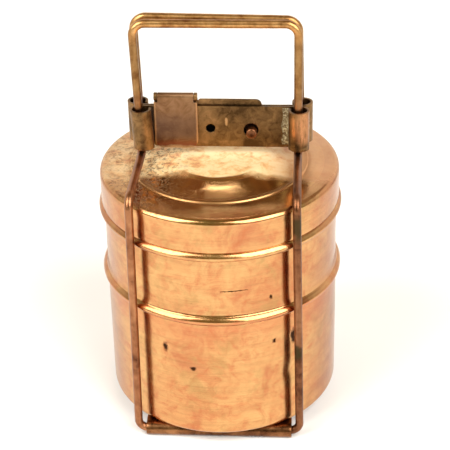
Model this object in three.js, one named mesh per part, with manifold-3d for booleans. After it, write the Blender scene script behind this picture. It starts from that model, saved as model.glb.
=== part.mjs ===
// A two-tier brass tiffin carrier. A base plate with rolled ends carries two wire bails that
// clasp a stack of two food containers and a lid, and whose tops together make the handle.
// Millimetres, +Z up, the table at z = 0, the stack's axis on Z, the hasp on the -Y side.
import * as THREE from "three";
import { mergeVertices } from "three/addons/utils/BufferGeometryUtils.js";
import Module from "manifold-3d";

// Sheet, wire and fits
const SHEET = 1.2;
const WIRE_RADIUS = 2.4;
const GAP = 0.3;
const ROUND_STEPS = 48;

// Base plate and its rolled ends, the bails' hinges
const KNUCKLE_RADIUS = 4.2;
const KNUCKLE_Y = 56;
const BASE_HALF_WIDTH = 43;
const FOOT_FLAT = 1.6;
const ROLL_STEP = 20;

// Stack: heights are above the underside of the lower container
const STACK_Z = 2 * KNUCKLE_RADIUS + GAP;
const BODY_RADIUS = 67.5;
const LOWER_HEIGHT = 77;
const FOOT_DEPTH = 9;
const FOOT_RADIUS = BODY_RADIUS - SHEET - 0.4;
const UPPER_RADIUS = 67.2;
const UPPER_RIM = 141.7;
const BEAD_RADIUS = 70.2;
const BEAD_ROUND = 2.7;
const CORNER_ROUND = 3.5;
const LID_MOUTH = 119;
const LID_RADIUS = 68.7;
const LID_SHEET = 1.1;
const LID_EDGE = 141.4;
const LID_ROUND = 3.4;
const LID_RING_RADIUS = 50;
const LID_DISC_RADIUS = 28.5;
const LID_TOP = 150;

// Bails: x of the legs at the hinge, at the lid, at the neck, at the sleeve's top and in the
// handle. The front left leg has been bent inward at the neck, and the rear right one outward.
const LEG_FOOT_X = 47.4;
const LEG_LID_X = 45.4;
const HANDLE_LEFT_X = 45.8;
const HANDLE_RIGHT_X = 45;
const STRAIGHT_NECK = { low: 45, high: 45 };
const INWARD_NECK = { low: 43.4, high: 44.1 };
const OUTWARD_NECK = { low: 46, high: 45.8 };
const LEG_LID_Y = 57.2;
const FOOT_BEND = 5.5;
const LID_BEND = 7;
const NECK_BEND = 4;
const HANDLE_BEND = 7;
const BEND_STEPS = 5;
const WIRE_SIDES = 10;
const WIRE_BUTT = 0.4;
const LID_CROSS_Z = STACK_Z + 150.4;
const NECK_Z = STACK_Z + 152.6;
const HANDLE_Z = STACK_Z + 230.4;
const FRONT_BAR = { y: 3.2, z: HANDLE_Z };
const REAR_BAR_LEFT = { y: 4.6, z: HANDLE_Z + 0.8 };
const REAR_BAR_RIGHT = { y: 3.6, z: HANDLE_Z - 0.3 };

// Clasp plates, rolled round the handle wires
const PLATE_LOW = STACK_Z + 154.8;
const PLATE_HIGH = STACK_Z + 180;
const SLEEVE_LOW = STACK_Z + 156.3;
const SLEEVE_RADIUS = 5.35;
const SLEEVE_Y = GAP + SLEEVE_RADIUS;
const SLEEVE_STRETCH = 1.1;
const PLATE_MIDDLE = (PLATE_LOW + PLATE_HIGH) / 2;
const FRONT_LEFT_SLEEVE = { x: 42.4, lean: 0.048 };
const FRONT_RIGHT_SLEEVE = { x: 45.4, lean: 0 };
const REAR_LEFT_SLEEVE = { x: 45.6, lean: 0 };
const REAR_RIGHT_SLEEVE = { x: 47.2, lean: 0 };
const WIDE_SOLDER = { spread: 4.6, rise: 2.6, out: -0.2 };
const NARROW_SOLDER = { spread: 1.9, rise: 2.6, out: -0.2 };
const SLIM_SOLDER = { spread: 0.3, rise: 1.6, out: 0.2 };

// Stud, its hole and the empty rivet hole beside it
const STUD_X = 18.9;
const STUD_Z = STACK_Z + 165;
const STUD_RADIUS = 3.2;
const STUD_HEAD_RADIUS = 4.8;
const STUD_REACH = 6.6;
const STUD_HOLE_RADIUS = 4.15;
const STUD_HOLE_OFFSET = 0.45;
const RIVET_HOLE_X = -4.3;
const RIVET_HOLE_Z = STACK_Z + 166.3;
const RIVET_HOLE_RADIUS = 2.7;

// Hasp: a flap on a rolled hinge above the plates
const HASP_LEFT = -35.7;
const HASP_RIGHT = -11.4;
const HASP_LOW = STACK_Z + 154.6;
const HASP_CORNER = 5;
const HINGE_Y = -0.8;
const HINGE_Z = STACK_Z + 185.6;
const HINGE_OUTER = 2.3;
const HINGE_INNER = 1.3;
const PIN_RADIUS = 1;
const PIN_PROUD = 0.6;
const LEAF_WIDTH = 1.8;
const TAB_RIGHT = 24.6;
const TAB_HIGH = STACK_Z + 183.4;
const TAB_CORNER = 3;

const wasm = await Module();
wasm.setup();

const COLOURS = {
  polished: { color: 0xe0a868, roughness: 0.28, metalness: 1 },
  worn: { color: 0x8f6238, roughness: 0.42, metalness: 1 },
  plate: { color: 0x70502e, roughness: 0.5, metalness: 1 },
  solder: { color: 0x8c8a78, roughness: 0.6, metalness: 1 },
};

const group = new THREE.Group();

function addPiece(name, geometry, finish) {
  const mesh = new THREE.Mesh(geometry, new THREE.MeshStandardMaterial(COLOURS[finish]));
  mesh.name = name;
  group.add(mesh);
  return mesh;
}

// Booleans ---------------------------------------------------------------------------------

function toSolid(geometry) {
  const bare = geometry.clone();
  bare.deleteAttribute("normal");
  bare.deleteAttribute("uv");
  const merged = mergeVertices(bare, 1e-5);
  const vertProperties = new Float32Array(merged.attributes.position.array);
  const triVerts = new Uint32Array(merged.index.array);
  return new wasm.Manifold(new wasm.Mesh({ numProp: 3, vertProperties, triVerts }));
}

function toGeometry(solid) {
  const mesh = solid.getMesh();
  const geometry = new THREE.BufferGeometry();
  geometry.setAttribute("position", new THREE.BufferAttribute(mesh.vertProperties, 3));
  geometry.setIndex(new THREE.BufferAttribute(mesh.triVerts, 1));
  geometry.computeVertexNormals();
  return geometry;
}

// Outlines ---------------------------------------------------------------------------------

// Points on an arc about (cx, cy), angles in degrees.
function arc(cx, cy, radius, from, to, steps) {
  const points = [];
  for (let i = 0; i <= steps; i += 1) {
    const angle = THREE.MathUtils.degToRad(from + ((to - from) * i) / steps);
    points.push(new THREE.Vector2(cx + radius * Math.cos(angle), cy + radius * Math.sin(angle)));
  }
  return points;
}

function point(x, y) {
  return new THREE.Vector2(x, y);
}

// A C-shaped curl of sheet as an outline: the outer arc out and the inner arc back.
function curl(cx, cy, outer, inner, from, to) {
  const steps = Math.round(Math.abs(to - from) / ROLL_STEP);
  return [...arc(cx, cy, outer, from, to, steps), ...arc(cx, cy, inner, to, from, steps)];
}

function extrude(points, depth) {
  return new THREE.ExtrudeGeometry(new THREE.Shape(points), { depth, bevelEnabled: false });
}

// An outline drawn in (y, z), made into a prism from x = left to x = right.
function prismAlongX(points, left, right) {
  const geometry = extrude(points, right - left);
  const toYZ = new THREE.Matrix4().set(0, 0, 1, left, 1, 0, 0, 0, 0, 1, 0, 0, 0, 0, 0, 1);
  return geometry.applyMatrix4(toYZ);
}

// An outline drawn in (x, z), made into a prism from y = near to y = far.
function prismAlongY(points, near, far) {
  const geometry = extrude(points, far - near);
  const toXZ = new THREE.Matrix4().set(1, 0, 0, 0, 0, 0, -1, far, 0, 1, 0, 0, 0, 0, 0, 1);
  return geometry.applyMatrix4(toXZ);
}

// An outline drawn in (x, y), made into a prism from z = low to z = high.
function prismAlongZ(points, low, high) {
  return extrude(points, high - low).translate(0, 0, low);
}

function rectangle(left, low, right, high) {
  return [point(left, low), point(right, low), point(right, high), point(left, high)];
}

function mirrored(points, signX, signY) {
  const turned = points.map((p) => point(signX * p.x, signY * p.y));
  return signX * signY < 0 ? turned.reverse() : turned;
}

// A solid of revolution about Z from an outline in (radius, height).
function addRound(name, points, finish) {
  const mesh = addPiece(name, new THREE.LatheGeometry(points, ROUND_STEPS), finish);
  mesh.rotation.x = Math.PI / 2;
  mesh.position.z = STACK_Z;
}

// Base plate -------------------------------------------------------------------------------

// Each end curls down and back under, leaving a slot short of the plate's underside. The curl
// is worn flat where it stands on the table.
function basePlateOutline() {
  const inner = KNUCKLE_RADIUS - SHEET;
  const farEnd = [
    ...arc(KNUCKLE_Y, KNUCKLE_RADIUS, KNUCKLE_RADIUS, 90, -70, 8),
    point(KNUCKLE_Y + FOOT_FLAT / 2, 0),
    point(KNUCKLE_Y - FOOT_FLAT / 2, 0),
    ...arc(KNUCKLE_Y, KNUCKLE_RADIUS, KNUCKLE_RADIUS, -110, -190, 4),
    ...arc(KNUCKLE_Y, KNUCKLE_RADIUS, inner, -190, 90, 14),
  ];
  const nearEnd = farEnd.map((p) => point(-p.x, p.y)).reverse();
  return [...nearEnd, ...farEnd].reverse();
}

function makeBasePlate() {
  const outline = basePlateOutline();
  addPiece("base_plate", prismAlongX(outline, -BASE_HALF_WIDTH, BASE_HALF_WIDTH), "worn");
}

// Containers and lid -----------------------------------------------------------------------

function makeLowerContainer() {
  const wall = BODY_RADIUS - SHEET;
  const centre = BODY_RADIUS - CORNER_ROUND;
  addRound("lower_container", [
    point(0, 0),
    ...arc(centre, CORNER_ROUND, CORNER_ROUND, -90, 0, 4),
    point(BODY_RADIUS, LOWER_HEIGHT),
    point(wall, LOWER_HEIGHT),
    ...arc(centre, CORNER_ROUND, CORNER_ROUND - SHEET, 0, -90, 4),
    point(0, SHEET),
  ], "polished");
}

// The foot nests inside the lower container's mouth, and the bead rests on its rim.
function makeUpperContainer() {
  const footLow = LOWER_HEIGHT - FOOT_DEPTH;
  const shoulder = LOWER_HEIGHT + GAP;
  const beadX = BEAD_RADIUS - BEAD_ROUND;
  const beadZ = shoulder + BEAD_ROUND;
  const centre = FOOT_RADIUS - CORNER_ROUND;
  const blend = beadZ + BEAD_ROUND + 4;
  addRound("upper_container", [
    point(0, footLow),
    ...arc(centre, footLow + CORNER_ROUND, CORNER_ROUND, -90, 0, 3),
    point(FOOT_RADIUS, shoulder),
    ...arc(beadX, beadZ, BEAD_ROUND, -90, 75, 5),
    point(UPPER_RADIUS, blend),
    point(UPPER_RADIUS, UPPER_RIM),
    point(UPPER_RADIUS - SHEET, UPPER_RIM),
    point(UPPER_RADIUS - SHEET, blend),
    ...arc(beadX, beadZ, BEAD_ROUND - SHEET, 75, -90, 3),
    point(FOOT_RADIUS - SHEET, shoulder + SHEET),
    ...arc(centre, footLow + CORNER_ROUND, CORNER_ROUND - SHEET, 0, -90, 3),
    point(0, footLow + SHEET),
  ], "polished");
}

// The lid's crown: a rounded edge, a small ring, a shallow cone and a flat raised disc.
function lidCrown(drop) {
  return [
    point(LID_RING_RADIUS + 1, LID_EDGE + LID_ROUND + 0.9 - drop),
    point(LID_RING_RADIUS, LID_EDGE + LID_ROUND + 1.6 - drop),
    point(LID_RING_RADIUS - 1, LID_EDGE + LID_ROUND + 1.2 - drop),
    point(LID_DISC_RADIUS + 2, LID_TOP - 0.9 - drop),
    point(LID_DISC_RADIUS, LID_TOP - drop),
    point(0, LID_TOP + 0.2 - drop),
  ];
}

function makeLid() {
  const beadX = BEAD_RADIUS - BEAD_ROUND;
  const beadZ = LID_MOUTH + BEAD_ROUND;
  const beadTop = beadZ + BEAD_ROUND + 0.6;
  const inside = LID_RADIUS - LID_SHEET;
  const edgeX = LID_RADIUS - LID_ROUND;
  const top = [
    ...arc(edgeX, LID_EDGE, LID_ROUND, 0, 90, 4),
    ...lidCrown(0),
  ];
  const under = [
    ...lidCrown(LID_SHEET).reverse(),
    ...arc(edgeX, LID_EDGE, LID_ROUND - LID_SHEET, 90, 0, 4),
  ];
  const mouth = [
    point(inside, LID_MOUTH),
    ...arc(beadX, beadZ, BEAD_ROUND, -65, 65, 4),
    point(LID_RADIUS, beadTop),
  ];
  const outline = [...mouth, ...top, ...under];
  outline.push(outline[0].clone());
  addRound("lid", outline, "polished");
}

// Bails ------------------------------------------------------------------------------------

// A bent wire's centre line: straight runs between corners, each corner an arc. Stations lie
// only on the arcs and at the two ends, so straight runs cost nothing.
class WirePath extends THREE.Curve {
  constructor(corners) {
    super();
    this.stations = [];
    this.addEnd(corners[0].at, corners[1].at, corners[0].at);
    for (let i = 1; i < corners.length - 1; i += 1) {
      this.addBend(corners[i - 1].at, corners[i], corners[i + 1].at);
    }
    const last = corners[corners.length - 1].at;
    this.addEnd(corners[corners.length - 2].at, last, last);
  }

  addEnd(from, to, at) {
    this.stations.push({ at: at.clone(), along: to.clone().sub(from).normalize() });
  }

  addBend(before, corner, after) {
    const into = corner.at.clone().sub(before).normalize();
    const out = after.clone().sub(corner.at).normalize();
    const turn = into.angleTo(out);
    const start = corner.at.clone().addScaledVector(into, -corner.bend * Math.tan(turn / 2));
    const inward = out.clone().addScaledVector(into, -out.dot(into)).normalize();
    for (let i = 0; i <= BEND_STEPS; i += 1) {
      const angle = (turn * i) / BEND_STEPS;
      const along = into.clone().multiplyScalar(Math.cos(angle)).addScaledVector(inward, Math.sin(angle));
      const at = start.clone().addScaledVector(into, corner.bend * Math.sin(angle));
      at.addScaledVector(inward, corner.bend * (1 - Math.cos(angle)));
      this.stations.push({ at, along });
    }
  }

  get steps() {
    return this.stations.length - 1;
  }

  getPointAt(u) {
    return this.stations[Math.round(u * this.steps)].at.clone();
  }

  getTangentAt(u) {
    return this.stations[Math.round(u * this.steps)].along.clone();
  }
}

function corner(x, y, z, bend) {
  return { at: new THREE.Vector3(x, y, z), bend };
}

// One leg from the hinge up to the handle's corner, on one side (x) and at one face (y).
function legCorners(sideX, sideY, neck, handleX, bar) {
  return [
    corner(sideX * LEG_FOOT_X, sideY * KNUCKLE_Y, KNUCKLE_RADIUS, FOOT_BEND),
    corner(sideX * LEG_LID_X, sideY * LEG_LID_Y, LID_CROSS_Z, LID_BEND),
    corner(sideX * neck.low, sideY * SLEEVE_Y, NECK_Z, NECK_BEND),
    corner(sideX * neck.high, sideY * SLEEVE_Y, PLATE_HIGH + 4, 2 * HANDLE_BEND),
    corner(sideX * handleX, sideY * bar.y, bar.z, HANDLE_BEND),
  ];
}

// The wire's two ends butt together inside the hinge.
function makeBail(name, sideY, leftNeck, rightNeck, leftBar, rightBar) {
  const left = legCorners(-1, sideY, leftNeck, HANDLE_LEFT_X, leftBar);
  const right = legCorners(1, sideY, rightNeck, HANDLE_RIGHT_X, rightBar);
  const path = new WirePath([
    corner(-WIRE_BUTT, sideY * KNUCKLE_Y, KNUCKLE_RADIUS, 0),
    ...left,
    ...right.reverse(),
    corner(WIRE_BUTT, sideY * KNUCKLE_Y, KNUCKLE_RADIUS, 0),
  ]);
  const section = new THREE.Shape(arc(0, 0, WIRE_RADIUS, 0, 360 - 360 / WIRE_SIDES, WIRE_SIDES - 1));
  const geometry = new THREE.ExtrudeGeometry(section, { steps: path.steps, extrudePath: path });
  addPiece(name, geometry, "worn");
}

// Clasp plates -----------------------------------------------------------------------------

// Leans a piece at a sleeve outward with height, about the middle of the plate's height.
function leaned(geometry, sleeve, signX) {
  const slope = signX * sleeve.lean;
  const shift = -slope * PLATE_MIDDLE;
  const shear = new THREE.Matrix4().set(1, 0, slope, shift, 0, 1, 0, 0, 0, 0, 1, 0, 0, 0, 0, 1);
  return geometry.applyMatrix4(shear);
}

// The sheet runs out to the wire, curls round it in an oval and comes back almost to the
// plate's face, where it is soldered.
function makeSleeve(sleeve, signX, signY) {
  const round = curl(0, -SLEEVE_Y, SLEEVE_RADIUS, SLEEVE_RADIUS - SHEET, 95, -210);
  const oval = round.map((p) => point(sleeve.x + SLEEVE_STRETCH * p.x, p.y));
  const outline = mirrored(oval.reverse(), signX, signY);
  return toSolid(leaned(prismAlongZ(outline, SLEEVE_LOW, PLATE_HIGH), sleeve, signX));
}

function claspPlate(leftSleeve, rightSleeve, signY) {
  const reach = (PLATE_HIGH - PLATE_LOW) / 2;
  const leftLow = -leftSleeve.x + leftSleeve.lean * reach;
  const leftHigh = -leftSleeve.x - leftSleeve.lean * reach;
  const flat = [
    point(leftLow, PLATE_LOW),
    point(rightSleeve.x, PLATE_LOW),
    point(rightSleeve.x, PLATE_HIGH),
    point(leftHigh, PLATE_HIGH),
  ];
  const near = signY > 0 ? -GAP - SHEET : GAP;
  return toSolid(prismAlongY(flat, near, near + SHEET))
    .add(makeSleeve(rightSleeve, 1, signY))
    .add(makeSleeve(leftSleeve, -1, signY));
}

function hole(x, z, radius) {
  return toSolid(prismAlongY(arc(x, z, radius, 0, 345, 23), -4, 4));
}

function makeFrontClaspPlate() {
  const plate = claspPlate(FRONT_LEFT_SLEEVE, FRONT_RIGHT_SLEEVE, 1)
    .subtract(hole(STUD_X - STUD_HOLE_OFFSET, STUD_Z + STUD_HOLE_OFFSET, STUD_HOLE_RADIUS))
    .subtract(hole(RIVET_HOLE_X, RIVET_HOLE_Z, RIVET_HOLE_RADIUS));
  addPiece("front_clasp_plate", toGeometry(plate), "plate");
}

// One of the narrow strips that rise from the rear plate and curl round the hasp's pin.
function makeLeaf(left) {
  const rearFace = HINGE_Y + HINGE_OUTER;
  const strip = rectangle(rearFace - SHEET, PLATE_HIGH - 1, rearFace, HINGE_Z);
  const roll = curl(HINGE_Y, HINGE_Z, HINGE_OUTER, HINGE_INNER, -20, 280);
  return toSolid(prismAlongX(strip, left, left + LEAF_WIDTH))
    .add(toSolid(prismAlongX(roll, left, left + LEAF_WIDTH)));
}

// The rear plate's raised tab carries the hasp's hinge: a narrow curl at each end of the flap's.
function makeRearClaspPlate() {
  const underFlap = HINGE_Z - HINGE_OUTER - 2 * GAP;
  const besideFlap = HASP_RIGHT + 2 * GAP;
  const tab = [
    point(HASP_LEFT, PLATE_HIGH - 1),
    point(TAB_RIGHT, PLATE_HIGH - 1),
    ...arc(TAB_RIGHT - TAB_CORNER, TAB_HIGH - TAB_CORNER, TAB_CORNER, 0, 90, 4),
    point(besideFlap, TAB_HIGH),
    point(besideFlap, underFlap),
    point(HASP_LEFT, underFlap),
  ];
  const plate = claspPlate(REAR_LEFT_SLEEVE, REAR_RIGHT_SLEEVE, -1)
    .add(toSolid(prismAlongY(tab, GAP, GAP + SHEET)))
    .add(makeLeaf(HASP_LEFT))
    .add(makeLeaf(HASP_RIGHT - LEAF_WIDTH))
    .subtract(hole(STUD_X, STUD_Z, STUD_RADIUS + GAP));
  addPiece("rear_clasp_plate", toGeometry(plate), "plate");
}

// A stud with a head behind the rear plate and a domed end in front.
function makeStud() {
  const head = GAP + SHEET + GAP;
  const tip = -STUD_REACH;
  const dome = 0.9;
  const profile = [
    point(0, tip),
    point(STUD_RADIUS * 0.6, tip + 0.2),
    point(STUD_RADIUS, tip + dome),
    point(STUD_RADIUS, head),
    point(STUD_HEAD_RADIUS, head),
    point(STUD_HEAD_RADIUS - 0.6, head + 1.2),
    point(0, head + 1.6),
  ];
  const mesh = addPiece("locking_stud", new THREE.LatheGeometry(profile, 20), "worn");
  mesh.position.set(STUD_X, 0, STUD_Z);
}

// A solder fillet in the corner between each sleeve's free edge and its plate.
function makeSolder(name, sleeve, solder, signX, signY) {
  const root = sleeve.x - SLEEVE_STRETCH * SLEEVE_RADIUS;
  const face = -GAP - SHEET - GAP;
  const outline = [
    point(root - solder.spread, face),
    point(root + solder.out, face - solder.rise),
    point(root + solder.out, face - solder.rise + 1.2),
    point(root + 0.35, face),
  ];
  const turned = mirrored(outline, signX, signY);
  const fillet = prismAlongZ(turned, SLEEVE_LOW + 0.5, PLATE_HIGH - 0.5);
  addPiece(name, leaned(fillet, sleeve, signX), "solder");
}

// Hasp -------------------------------------------------------------------------------------

function makeHaspFlap() {
  const front = HINGE_Y - HINGE_OUTER;
  const sheet = rectangle(front, HASP_LOW, front + SHEET, HINGE_Z);
  const roll = curl(HINGE_Y, HINGE_Z, HINGE_OUTER, HINGE_INNER, -100, 200);
  const face = [
    ...arc(HASP_LEFT + HASP_CORNER, HASP_LOW + HASP_CORNER, HASP_CORNER, 180, 270, 5),
    ...arc(HASP_RIGHT - HASP_CORNER, HASP_LOW + HASP_CORNER, HASP_CORNER, 270, 360, 5),
    point(HASP_RIGHT, HINGE_Z + 10),
    point(HASP_LEFT, HINGE_Z + 10),
  ];
  const notchLow = HINGE_Z - HINGE_OUTER - GAP;
  const notchWidth = LEAF_WIDTH + GAP;
  const leftNotch = rectangle(HASP_LEFT - 1, notchLow, HASP_LEFT + notchWidth, HINGE_Z + 10);
  const rightNotch = rectangle(HASP_RIGHT - notchWidth, notchLow, HASP_RIGHT + 1, HINGE_Z + 10);
  const flap = toSolid(prismAlongX(sheet, HASP_LEFT, HASP_RIGHT))
    .add(toSolid(prismAlongX(roll, HASP_LEFT, HASP_RIGHT)))
    .intersect(toSolid(prismAlongY(face, -10, 10)))
    .subtract(toSolid(prismAlongY(leftNotch, -9, 9)))
    .subtract(toSolid(prismAlongY(rightNotch, -9, 9)));
  addPiece("hasp_flap", toGeometry(flap), "plate");
}

function makeHaspPin() {
  const half = (HASP_RIGHT - HASP_LEFT) / 2 + PIN_PROUD;
  const profile = [
    point(0, -half),
    point(PIN_RADIUS * 0.7, -half),
    point(PIN_RADIUS, -half + 0.3),
    point(PIN_RADIUS, half - 0.3),
    point(PIN_RADIUS * 0.7, half),
    point(0, half),
  ];
  const mesh = addPiece("hasp_pin", new THREE.LatheGeometry(profile, 12), "worn");
  mesh.rotation.z = Math.PI / 2;
  mesh.position.set((HASP_LEFT + HASP_RIGHT) / 2, HINGE_Y, HINGE_Z);
}

makeBasePlate();
makeLowerContainer();
makeUpperContainer();
makeLid();
makeBail("front_bail", -1, INWARD_NECK, STRAIGHT_NECK, FRONT_BAR, FRONT_BAR);
makeBail("rear_bail", 1, STRAIGHT_NECK, OUTWARD_NECK, REAR_BAR_LEFT, REAR_BAR_RIGHT);
makeFrontClaspPlate();
makeRearClaspPlate();
makeStud();
makeSolder("solder_front_left", FRONT_LEFT_SLEEVE, SLIM_SOLDER, -1, 1);
makeSolder("solder_front_right", FRONT_RIGHT_SLEEVE, WIDE_SOLDER, 1, 1);
makeSolder("solder_rear_left", REAR_LEFT_SLEEVE, NARROW_SOLDER, -1, -1);
makeSolder("solder_rear_right", REAR_RIGHT_SLEEVE, WIDE_SOLDER, 1, -1);
makeHaspFlap();
makeHaspPin();

export default group;
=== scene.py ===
"""Looks of the two-tier brass tiffin carrier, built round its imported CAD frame."""
import math

import bmesh
import bpy
from mathutils import Matrix, Vector, noise


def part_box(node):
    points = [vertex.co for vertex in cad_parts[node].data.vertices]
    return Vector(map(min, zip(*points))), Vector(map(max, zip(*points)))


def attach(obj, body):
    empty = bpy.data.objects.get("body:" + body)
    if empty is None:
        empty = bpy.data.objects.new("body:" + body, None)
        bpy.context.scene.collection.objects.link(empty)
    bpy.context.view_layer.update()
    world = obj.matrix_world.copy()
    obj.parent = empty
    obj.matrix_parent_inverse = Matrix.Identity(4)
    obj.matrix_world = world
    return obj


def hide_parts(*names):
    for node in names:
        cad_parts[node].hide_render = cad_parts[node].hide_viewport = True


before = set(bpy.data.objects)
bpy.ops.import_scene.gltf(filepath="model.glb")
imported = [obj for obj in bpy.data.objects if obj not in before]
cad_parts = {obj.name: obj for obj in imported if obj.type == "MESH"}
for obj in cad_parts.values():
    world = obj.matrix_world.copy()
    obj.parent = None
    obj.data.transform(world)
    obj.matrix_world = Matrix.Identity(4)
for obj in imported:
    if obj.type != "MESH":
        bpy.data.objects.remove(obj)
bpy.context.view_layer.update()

# Sizes

MM = 0.001
SHEET = 1.2 * MM
GAP = 0.3 * MM
WIRE_RADIUS = 2.4 * MM

base_low, base_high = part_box("base_plate")
lower_low, lower_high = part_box("lower_container")
upper_low, upper_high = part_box("upper_container")
lid_low, lid_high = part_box("lid")
bail_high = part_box("front_bail")[1]
plate_low, plate_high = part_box("front_clasp_plate")
flap_low, flap_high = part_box("hasp_flap")
stud_low, stud_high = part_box("locking_stud")

KNUCKLE_RADIUS = base_high.z / 2
KNUCKLE_Y = base_high.y - KNUCKLE_RADIUS
STACK_Z = lower_low.z
BEAD_RADIUS = lid_high.x - 0.15 * MM
BEAD_ROUND = 2.7 * MM
LATHE_STEPS = 224
# The lid's raised ring, its flat disc, and how far below its top the skirt begins.
LID_RING = 50 * MM
LID_DISC = 28.5 * MM
LID_SHOULDER = 7.2 * MM

WIRE_SIDES = 20
WIRE_STEP = 1.6 * MM
WIRE_ROUGH = 0.04 * MM
LEG_FOOT_X = 47.4 * MM
LEG_LID_X = 45.4 * MM
HANDLE_LEFT_X = 45.8 * MM
HANDLE_RIGHT_X = 45 * MM
# A neck is a leg's x below and above its sleeve. A bar is a handle end's y and z.
STRAIGHT_NECK = (45 * MM, 45 * MM)
INWARD_NECK = (43.4 * MM, 44.1 * MM)
OUTWARD_NECK = (46 * MM, 45.8 * MM)
LEG_LID_Y = 57.2 * MM
SLEEVE_RADIUS = 5.35 * MM
SLEEVE_Y = GAP + SLEEVE_RADIUS
LID_CROSS_Z = STACK_Z + 150.4 * MM
NECK_Z = STACK_Z + 152.6 * MM
HANDLE_Z = bail_high.z - WIRE_RADIUS
FRONT_BAR = (3.2 * MM, HANDLE_Z)
REAR_BAR_LEFT = (4.6 * MM, HANDLE_Z + 0.8 * MM)
REAR_BAR_RIGHT = (3.6 * MM, HANDLE_Z - 0.3 * MM)
SLEEVE_LOW = plate_low.z + 1.5 * MM
SLEEVE_STRETCH = 1.1
FRONT_SLEEVES = (42.4 * MM, 45.4 * MM)
REAR_SLEEVES = (45.6 * MM, 47.2 * MM)
LEFT_SLEEVE_LEAN = 0.048

HINGE_Y = flap_high.y - 2.3 * MM
HINGE_Z = flap_high.z - 2.3 * MM
HINGE_MIDDLE = 1.7 * MM
LEAF_WIDTH = 1.8 * MM
STUD_X = (stud_low.x + stud_high.x) / 2
STUD_Z = (stud_low.z + stud_high.z) / 2
EMPTY_HOLE_X = -4.3 * MM
EMPTY_HOLE_Z = STACK_Z + 166.3 * MM


# Geometry

def on_stack(x, y, z):
    """A place in millimetres from the stack's foot, in metres from the table."""
    return (x * MM, y * MM, STACK_Z + z * MM)


def toward(azimuth, elevation):
    """A direction from angles in degrees. Azimuth 0 is -Y, in front, and 90 is +X."""
    a, e = math.radians(azimuth), math.radians(elevation)
    return Vector((math.sin(a) * math.cos(e), -math.cos(a) * math.cos(e), math.sin(e)))


def clamp(value):
    """The value, kept between 0 and 1."""
    return min(1, max(0, value))


def arc(cx, cy, radius, start, end, steps):
    """Points on an arc about (cx, cy), angles in degrees."""
    angles = [math.radians(start + (end - start) * i / steps) for i in range(steps + 1)]
    return [(cx + radius * math.cos(a), cy + radius * math.sin(a)) for a in angles]


def line(start, end, steps):
    """Points from start up to, but without, end."""
    return [tuple(s + (e - s) * i / steps for s, e in zip(start, end)) for i in range(steps)]


def bezier(start, middle, end, steps):
    """Points on a quadratic curve from start to end."""
    points = []
    for i in range(steps + 1):
        t = i / steps
        u = 1 - t
        points.append(tuple(u * u * s + 2 * u * t * m + t * t * e
                            for s, m, e in zip(start, middle, end)))
    return points


def make_object(name, bm, smooth_angle=35):
    """A linked object from a bmesh, smooth shaded except across sharp edges."""
    bmesh.ops.recalc_face_normals(bm, faces=bm.faces)
    mesh = bpy.data.meshes.new(name)
    bm.to_mesh(mesh)
    bm.free()
    obj = bpy.data.objects.new(name, mesh)
    bpy.context.scene.collection.objects.link(obj)
    mesh.shade_smooth()
    mesh.set_sharp_from_angle(angle=math.radians(smooth_angle))
    return obj


def bake_modifiers(obj):
    """Replaces obj's mesh by the result of its modifiers."""
    depsgraph = bpy.context.evaluated_depsgraph_get()
    mesh = bpy.data.meshes.new_from_object(obj.evaluated_get(depsgraph), depsgraph=depsgraph)
    obj.modifiers.clear()
    obj.data = mesh


def bevel(obj, width, segments=2):
    """Rounds the sharp edges of cut sheet."""
    modifier = obj.modifiers.new("edges", "BEVEL")
    modifier.width = width
    modifier.segments = segments
    modifier.limit_method = "ANGLE"
    modifier.angle_limit = math.radians(40)
    bake_modifiers(obj)
    obj.data.shade_smooth()
    obj.data.set_sharp_from_angle(angle=math.radians(50))
    return obj


def fine_noise(point, wavelength, seed):
    """Smooth noise of about -1 to 1 with the given wavelength in metres."""
    return noise.noise(Vector(point) / wavelength + Vector((seed, 2.7 * seed, -1.3 * seed)))


def revolve(profile, steps, closed=False):
    """A bmesh turned about Z from (radius, z) points, which may lie on the axis.

    A closed profile also joins its last point to its first.
    """
    angles = [2 * math.pi * i / steps for i in range(steps)]
    bm = bmesh.new()
    rings = []
    for radius, z in profile:
        around = angles if radius > 1e-7 else angles[:1]
        rings.append([bm.verts.new((radius * math.sin(a), -radius * math.cos(a), z))
                      for a in around])
    pairs = [*zip(rings, rings[1:])]
    if closed:
        pairs.append((rings[-1], rings[0]))
    for here, there in pairs:
        if len(here) == len(there) == 1:
            continue
        for i in range(steps):
            j = (i + 1) % steps
            if len(here) == 1:
                bm.faces.new((here[0], there[j], there[i]))
            elif len(there) == 1:
                bm.faces.new((here[i], here[j], there[0]))
            else:
                bm.faces.new((here[i], here[j], there[j], there[i]))
    return bm


def spun(name, profile, move, closed=False):
    """A large spun shell about Z, every point of it passed through move."""
    bm = revolve(profile, LATHE_STEPS, closed)
    for vertex in bm.verts:
        vertex.co = move(vertex.co.copy())
    return make_object(name, bm)


def turned(name, profile, steps, turn, at, move=None):
    """A little turned piece, its axis turned by a matrix and set at a place."""
    bm = revolve(profile, steps)
    for vertex in bm.verts:
        co = turn @ vertex.co + Vector(at)
        vertex.co = move(co) if move else co
    return make_object(name, bm, 50)


def from_above(x, y, z):
    """Places a path in the XY plane, swept along Z."""
    return (x, y, z)


def from_side(y, z, x):
    """Places a path in the YZ plane, swept along X."""
    return (x, y, z)


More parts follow.
